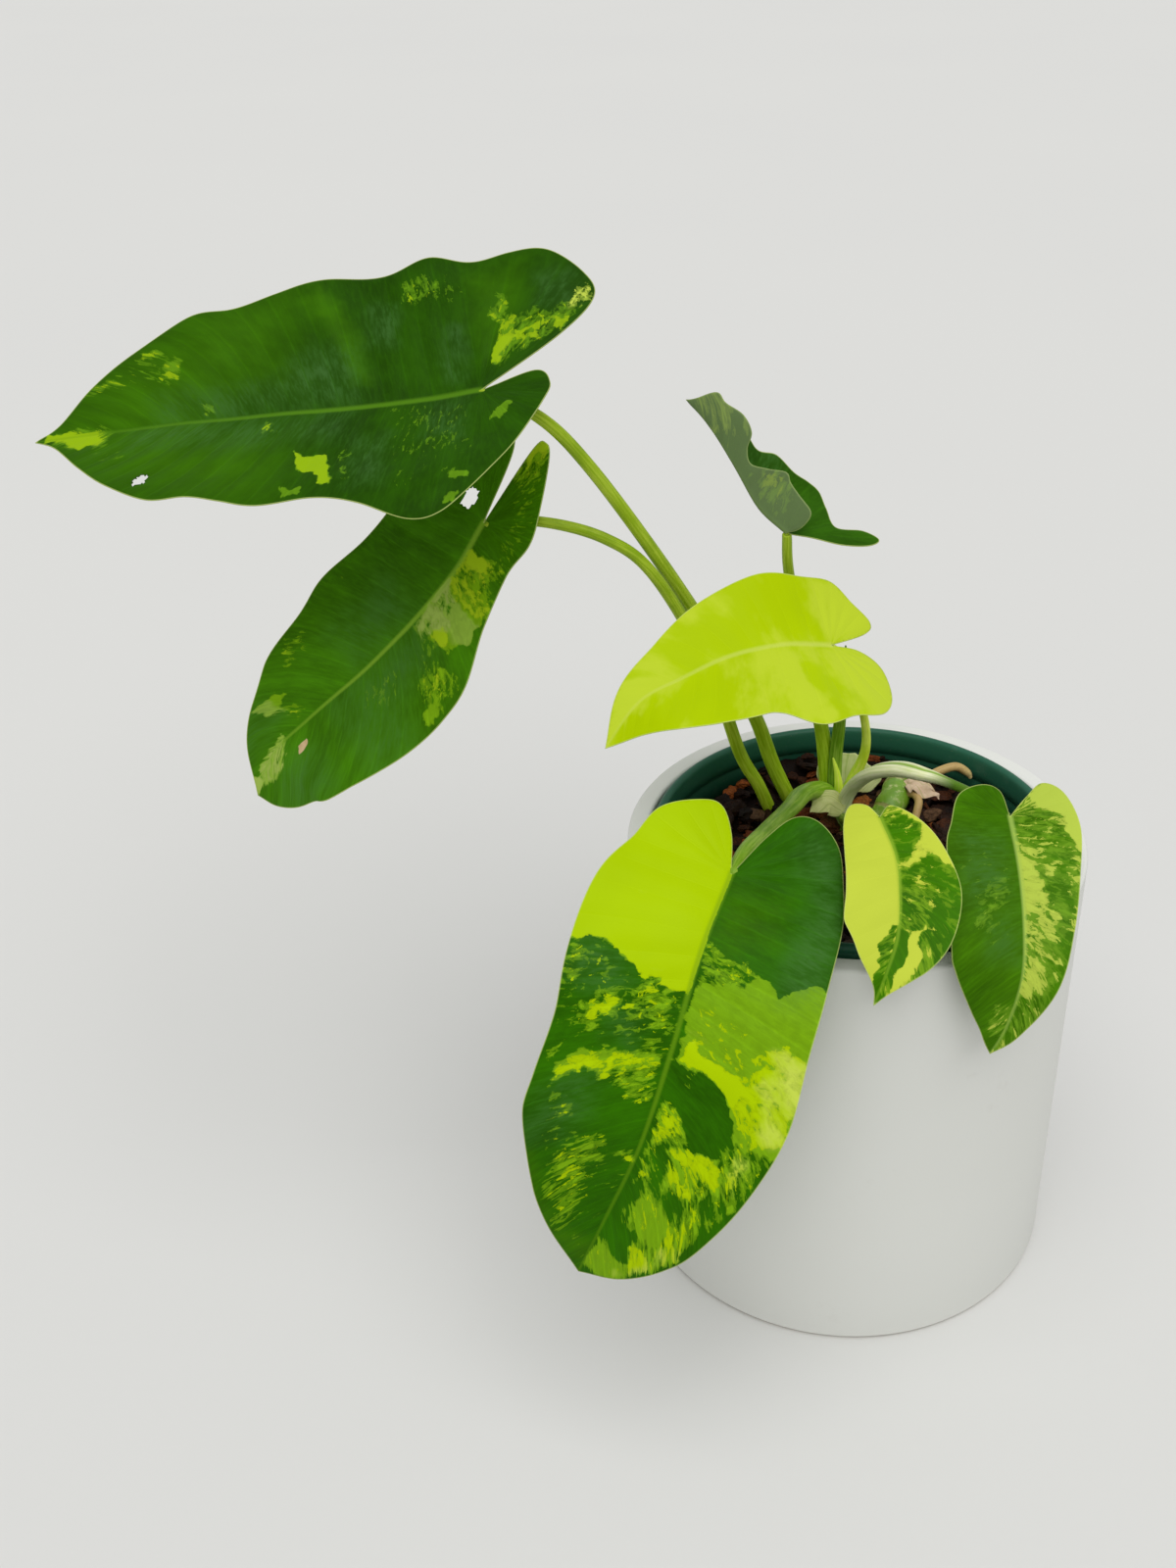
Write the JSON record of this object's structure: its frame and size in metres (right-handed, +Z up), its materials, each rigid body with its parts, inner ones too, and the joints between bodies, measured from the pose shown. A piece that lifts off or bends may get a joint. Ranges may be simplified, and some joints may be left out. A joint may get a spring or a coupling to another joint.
{
  "type": "potted variegated philodendron",
  "caption": "Variegated heart-leaved philodendron growing from a creeping stem in bark mix, in a thin nursery pot set inside a plain white straight-sided cachepot.",
  "frame": {"origin": "centre of the underside of the white cachepot, on the surface it stands on", "axes": "+Z up; the side shown in the picture faces -Y, and the two long-stalked leaves lean out towards -X"},
  "size_m": [0.393, 0.2429, 0.4087],
  "materials": {
    "cachepot_white": "matt white",
    "pot_green": "satin moulded plastic",
    "bark_mix": "damp bark chips",
    "leaf_green": "glossy leaf, dark green with lime patches",
    "leaf_lime": "satin young leaf, lime",
    "stalk_green": "satin leaf stalk",
    "stalk_lime": "satin young stalk",
    "stem_green": "satin creeping stem",
    "root_tan": "dry aerial root",
    "papery_scale": "papery bud scale"
  },
  "bodies": {
    "root": {"cachepot": "cachepot_white", "nursery_pot": "pot_green", "potting_mix": "bark_mix", "leaf_1": "leaf_green", "leaf_2": "leaf_green", "leaf_3": "leaf_lime", "leaf_4": "leaf_green", "leaf_5": "leaf_green", "leaf_6": "leaf_green", "leaf_7": "leaf_green", "creeping_stem": "stem_green", "petiole_1": "stalk_green", "petiole_2": "stalk_green", "petiole_3": "stalk_lime", "petiole_4": "stalk_green", "petiole_5": "stalk_lime", "petiole_6": "stalk_green", "petiole_7": "stalk_green", "new_shoot": "stalk_green", "spear": "stalk_lime", "aerial_root_1": "root_tan", "aerial_root_2": "root_tan", "bud_scale_1": "papery_scale", "bud_scale_2": "papery_scale", "dried_scale": "papery_scale"}
  },
  "joints": []
}
